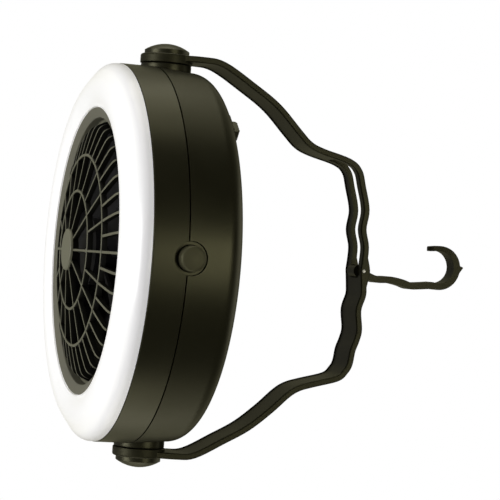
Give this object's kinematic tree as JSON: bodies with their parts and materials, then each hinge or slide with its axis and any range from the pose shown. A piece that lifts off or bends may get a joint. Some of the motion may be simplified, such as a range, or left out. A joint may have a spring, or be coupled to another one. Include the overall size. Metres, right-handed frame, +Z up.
{
  "type": "camping fan light",
  "caption": "Round battery fan with a ring light, a friction bail that swings round the body and a folding hanging hook.",
  "frame": {"origin": "the point inside the hook's curl where a rod or line carries the hanging fan", "axes": "+Z up along the hanging line, towards the hook's back; +X along the bail's pivot axis, away from the hook's free end; -Y towards the light button; the fan faces down, -Z"},
  "size_m": [0.2043, 0.1854, 0.2046],
  "materials": {
    "shell_plastic": "satin moulded plastic, very dark olive",
    "bail_plastic": "satin moulded plastic, very dark olive",
    "cap_plastic": "satin moulded plastic, near black",
    "button_plastic": "satin moulded plastic, dark olive",
    "lens_plastic": "white translucent diffuser",
    "bezel_plastic": "satin olive grey plastic",
    "grille_plastic": "satin olive grey plastic",
    "hub_plastic": "satin olive grey plastic",
    "inner_plastic": "plain black moulding",
    "impeller_plastic": "black moulding",
    "white_plastic": "white moulding",
    "circuit_board": "white solder mask",
    "led_resin": "clear resin over a yellow phosphor",
    "pin_steel": "bright drawn steel",
    "screw_steel": "zinc plated steel",
    "magnet": "bonded ferrite",
    "copper_winding": "enamelled copper wire",
    "contact_metal": "nickel plated spring steel",
    "cell_sleeve": "plain printed sleeve in two colours"
  },
  "bodies": {
    "hook": {"hook": "bail_plastic"},
    "bail": {"bail": "bail_plastic", "hinge_pin": "pin_steel", "pivot_cap_l": "cap_plastic", "pivot_cap_r": "cap_plastic"},
    "fan_body": {"pivot_collar_l": "cap_plastic", "pivot_collar_r": "cap_plastic", "pivot_washer_l": "screw_steel", "pivot_washer_r": "screw_steel", "pivot_bolt_l": "screw_steel", "pivot_bolt_r": "screw_steel", "pivot_nut_l": "screw_steel", "pivot_nut_r": "screw_steel", "front_housing": "shell_plastic", "rear_housing": "shell_plastic", "housing_screws": "screw_steel", "chassis_screws": "screw_steel", "board_screws": "screw_steel", "diffuser_ring": "lens_plastic", "grille_bezel": "bezel_plastic", "front_grille": "grille_plastic", "grille_hub_disc": "hub_plastic", "reflector_ring": "white_plastic", "led_board": "circuit_board", "leds": "led_resin", "fan_duct": "inner_plastic", "motor_bracket": "inner_plastic", "motor_screws": "screw_steel", "motor_can": "pin_steel", "motor_end_cap": "white_plastic", "motor_magnets": "magnet", "battery_tray": "inner_plastic", "battery_cell_a": "cell_sleeve", "battery_cell_b": "cell_sleeve", "battery_springs": "contact_metal", "battery_contacts": "contact_metal", "slide_switch_body": "white_plastic", "button_collar": "cap_plastic", "light_switch_body": "white_plastic"},
    "rotor": {"impeller": "impeller_plastic", "motor_shaft": "pin_steel", "motor_armature": "copper_winding"},
    "light_button": {"light_button": "button_plastic"},
    "slide_knob": {"slide_knob": "cap_plastic"},
    "battery_door": {"battery_door": "shell_plastic"}
  },
  "joints": [
    {"name": "hook_fold", "type": "hinge", "parent": "hook", "child": "bail", "pos_m": [0.00455, 0, -0.051], "axis": [0, 1, 0], "range_deg": [0, 90]},
    {"name": "bail_tilt", "type": "hinge", "parent": "bail", "child": "fan_body", "pos_m": [0.0041, 0, -0.15657], "axis": [1, 0, 0], "range_deg": [-95, 95]},
    {"name": "fan_spin", "type": "hinge", "parent": "fan_body", "child": "rotor", "pos_m": [0.0041, 0, -0.1799], "axis": [0, 0, 1], "continuous": true},
    {"name": "button_press", "type": "slide", "parent": "fan_body", "child": "light_button", "axis": [0, 1, 0], "range_m": [0, 0.002], "stiffness_N_per_m": 800},
    {"name": "switch_slide", "type": "slide", "parent": "fan_body", "child": "slide_knob", "axis": [-0.6293, 0.7771, 0], "range_m": [0, 0.003]},
    {"name": "door_swing", "type": "hinge", "parent": "fan_body", "child": "battery_door", "pos_m": [-0.03255, 0, -0.13283], "axis": [0, -1, 0], "range_deg": [0, 85]}
  ]
}
